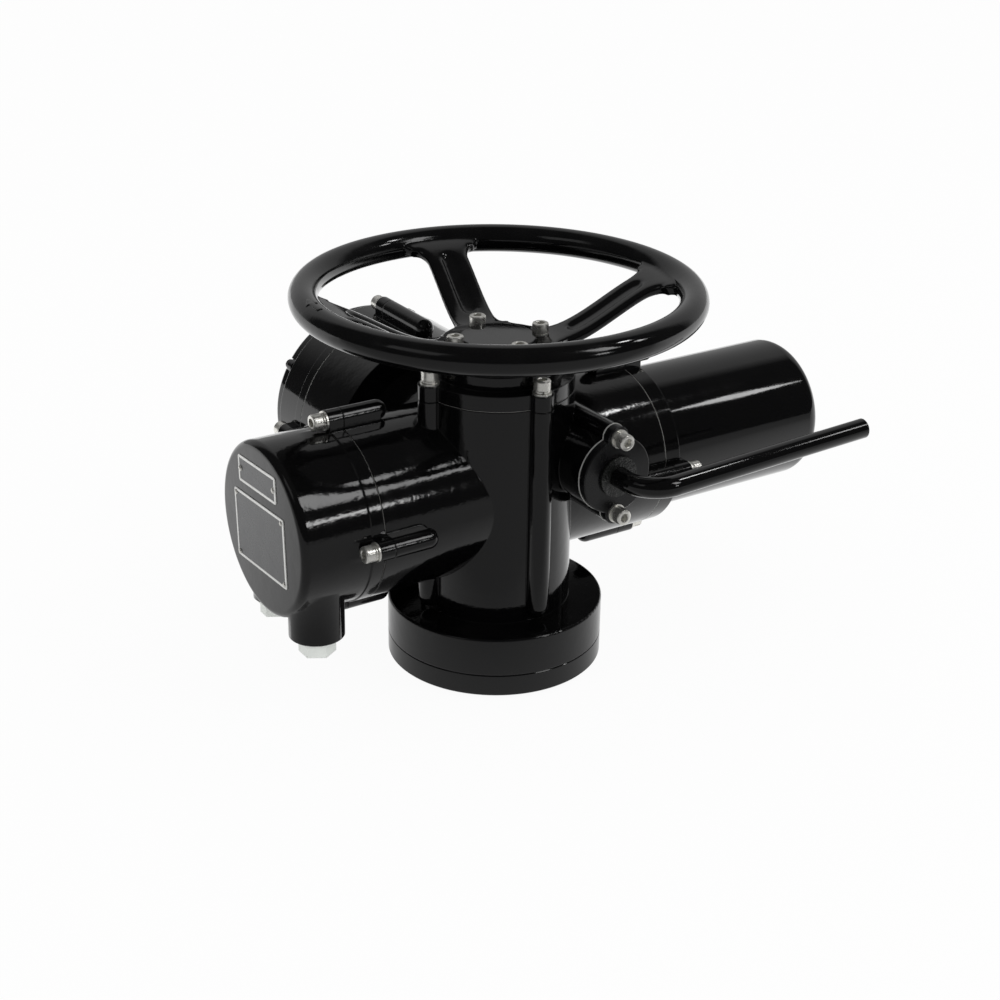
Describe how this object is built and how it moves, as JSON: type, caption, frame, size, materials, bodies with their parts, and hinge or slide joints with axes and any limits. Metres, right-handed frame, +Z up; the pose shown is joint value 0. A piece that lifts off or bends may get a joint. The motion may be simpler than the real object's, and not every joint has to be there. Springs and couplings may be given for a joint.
{
  "type": "multi-turn electric actuator",
  "caption": "Black electric drive for a gate valve: column with handwheel and change-over lever, motor, terminal box, control drum and worm gearing inside.",
  "frame": {"origin": "centre of the face that bolts to the valve, on the stem axis", "axes": "+Z up the valve stem axis to the handwheel, +X towards the motor, +Y towards the control drum"},
  "size_m": [0.5156, 0.3834, 0.319],
  "materials": {
    "black_paint": "gloss",
    "cap_metal": "gloss",
    "stainless": "satin",
    "gasket_metal": "satin",
    "black_screw": "satin",
    "white_plastic": "satin",
    "bronze": "satin",
    "rubber": "matt",
    "bearing_steel": "satin",
    "machined_steel": "satin",
    "cast_iron": "matt",
    "cast_aluminium": "matt",
    "lamination": "matt",
    "winding": "satin",
    "dark_plastic": "matt",
    "brass": "satin"
  },
  "bodies": {
    "housing": {"gear_housing": "black_paint", "output_flange": "black_paint", "top_cover": "black_paint", "motor_cover": "black_paint", "terminal_cover": "black_paint", "control_cover": "black_paint", "end_plate": "black_paint", "lever_flange": "black_paint", "cover_screws": "stainless", "cover_flat_washers": "stainless", "cover_spring_washers": "stainless", "lever_gasket": "gasket_metal", "output_flange_screws": "stainless", "end_plate_screws": "black_screw", "cable_plugs": "white_plastic", "lever_bush": "bronze", "hand_bush": "bronze", "switch_bush": "bronze", "hand_seal": "rubber", "output_seal": "rubber", "motor_cover_seal": "rubber", "terminal_cover_seal": "rubber", "control_cover_seal": "rubber", "top_cover_seal": "rubber", "main_bearing": "bearing_steel", "worm_bearing_front": "bearing_steel", "worm_bearing_rear": "bearing_steel", "motor_bearing_front": "bearing_steel", "motor_bearing_rear": "bearing_steel", "gear_carrier": "cast_iron", "motor_shield": "cast_aluminium", "motor_stator": "lamination", "motor_windings": "winding", "terminal_block": "dark_plastic", "terminal_clamps": "brass", "switch_plate": "cast_aluminium", "limit_switches": "dark_plastic", "torque_switches": "dark_plastic"},
    "rotor": {"motor_shaft": "machined_steel", "motor_pinion": "machined_steel", "motor_rotor": "lamination"},
    "worm": {"worm_shaft": "machined_steel", "worm_gear": "machined_steel"},
    "wheel": {"worm_wheel": "bronze"},
    "output": {"drive_sleeve": "machined_steel", "stem_nut": "bronze", "crown_gear": "machined_steel"},
    "switch_drive": {"switch_shaft": "machined_steel"},
    "clutch": {"clutch_ring": "machined_steel"},
    "handwheel": {"handwheel": "black_paint", "hub_cap": "cap_metal", "hub_screws": "stainless", "hub_spring_washers": "stainless", "wheel_flange": "black_paint", "hand_sleeve": "machined_steel"},
    "lever": {"lever": "black_paint", "shift_crank": "machined_steel"}
  },
  "joints": [
    {"name": "rotor_turn", "type": "hinge", "parent": "housing", "child": "rotor", "pos_m": [0.2, 0.028, 0.13945], "axis": [1, 0, 0], "continuous": true},
    {"name": "worm_turn", "type": "hinge", "parent": "housing", "child": "worm", "pos_m": [0, 0.0485, 0.144], "axis": [1, 0, 0], "continuous": true},
    {"name": "wheel_turn", "type": "hinge", "parent": "housing", "child": "wheel", "pos_m": [0, 0, 0.144], "axis": [0, 0, 1], "continuous": true},
    {"name": "output_turn", "type": "hinge", "parent": "housing", "child": "output", "pos_m": [0, 0, 0.1], "axis": [0, 0, 1], "continuous": true},
    {"name": "switch_drive_turn", "type": "hinge", "parent": "housing", "child": "switch_drive", "pos_m": [0, 0.08, 0.113], "axis": [0, 1, 0], "continuous": true},
    {"name": "handwheel_turn", "type": "hinge", "parent": "housing", "child": "handwheel", "pos_m": [0, 0, 0.26], "axis": [0, 0, 1], "continuous": true},
    {"name": "lever_swing", "type": "hinge", "parent": "housing", "child": "lever", "pos_m": [0.052, -0.06, 0.1738], "axis": [0, 1, 0], "range_deg": [0, 40]},
    {"name": "clutch_lift", "type": "slide", "parent": "output", "child": "clutch", "axis": [0, 0, 1], "range_m": [0, 0.0096]}
  ],
  "couplings": [
    {"joint": "worm_turn", "follows": "rotor_turn", "ratio": -0.75},
    {"joint": "wheel_turn", "follows": "rotor_turn", "ratio": -0.020833},
    {"joint": "output_turn", "follows": "rotor_turn", "ratio": -0.020833},
    {"joint": "switch_drive_turn", "follows": "rotor_turn", "ratio": -0.083333},
    {"joint": "clutch_lift", "follows": "lever_swing", "m_per_rad": 0.013717}
  ]
}
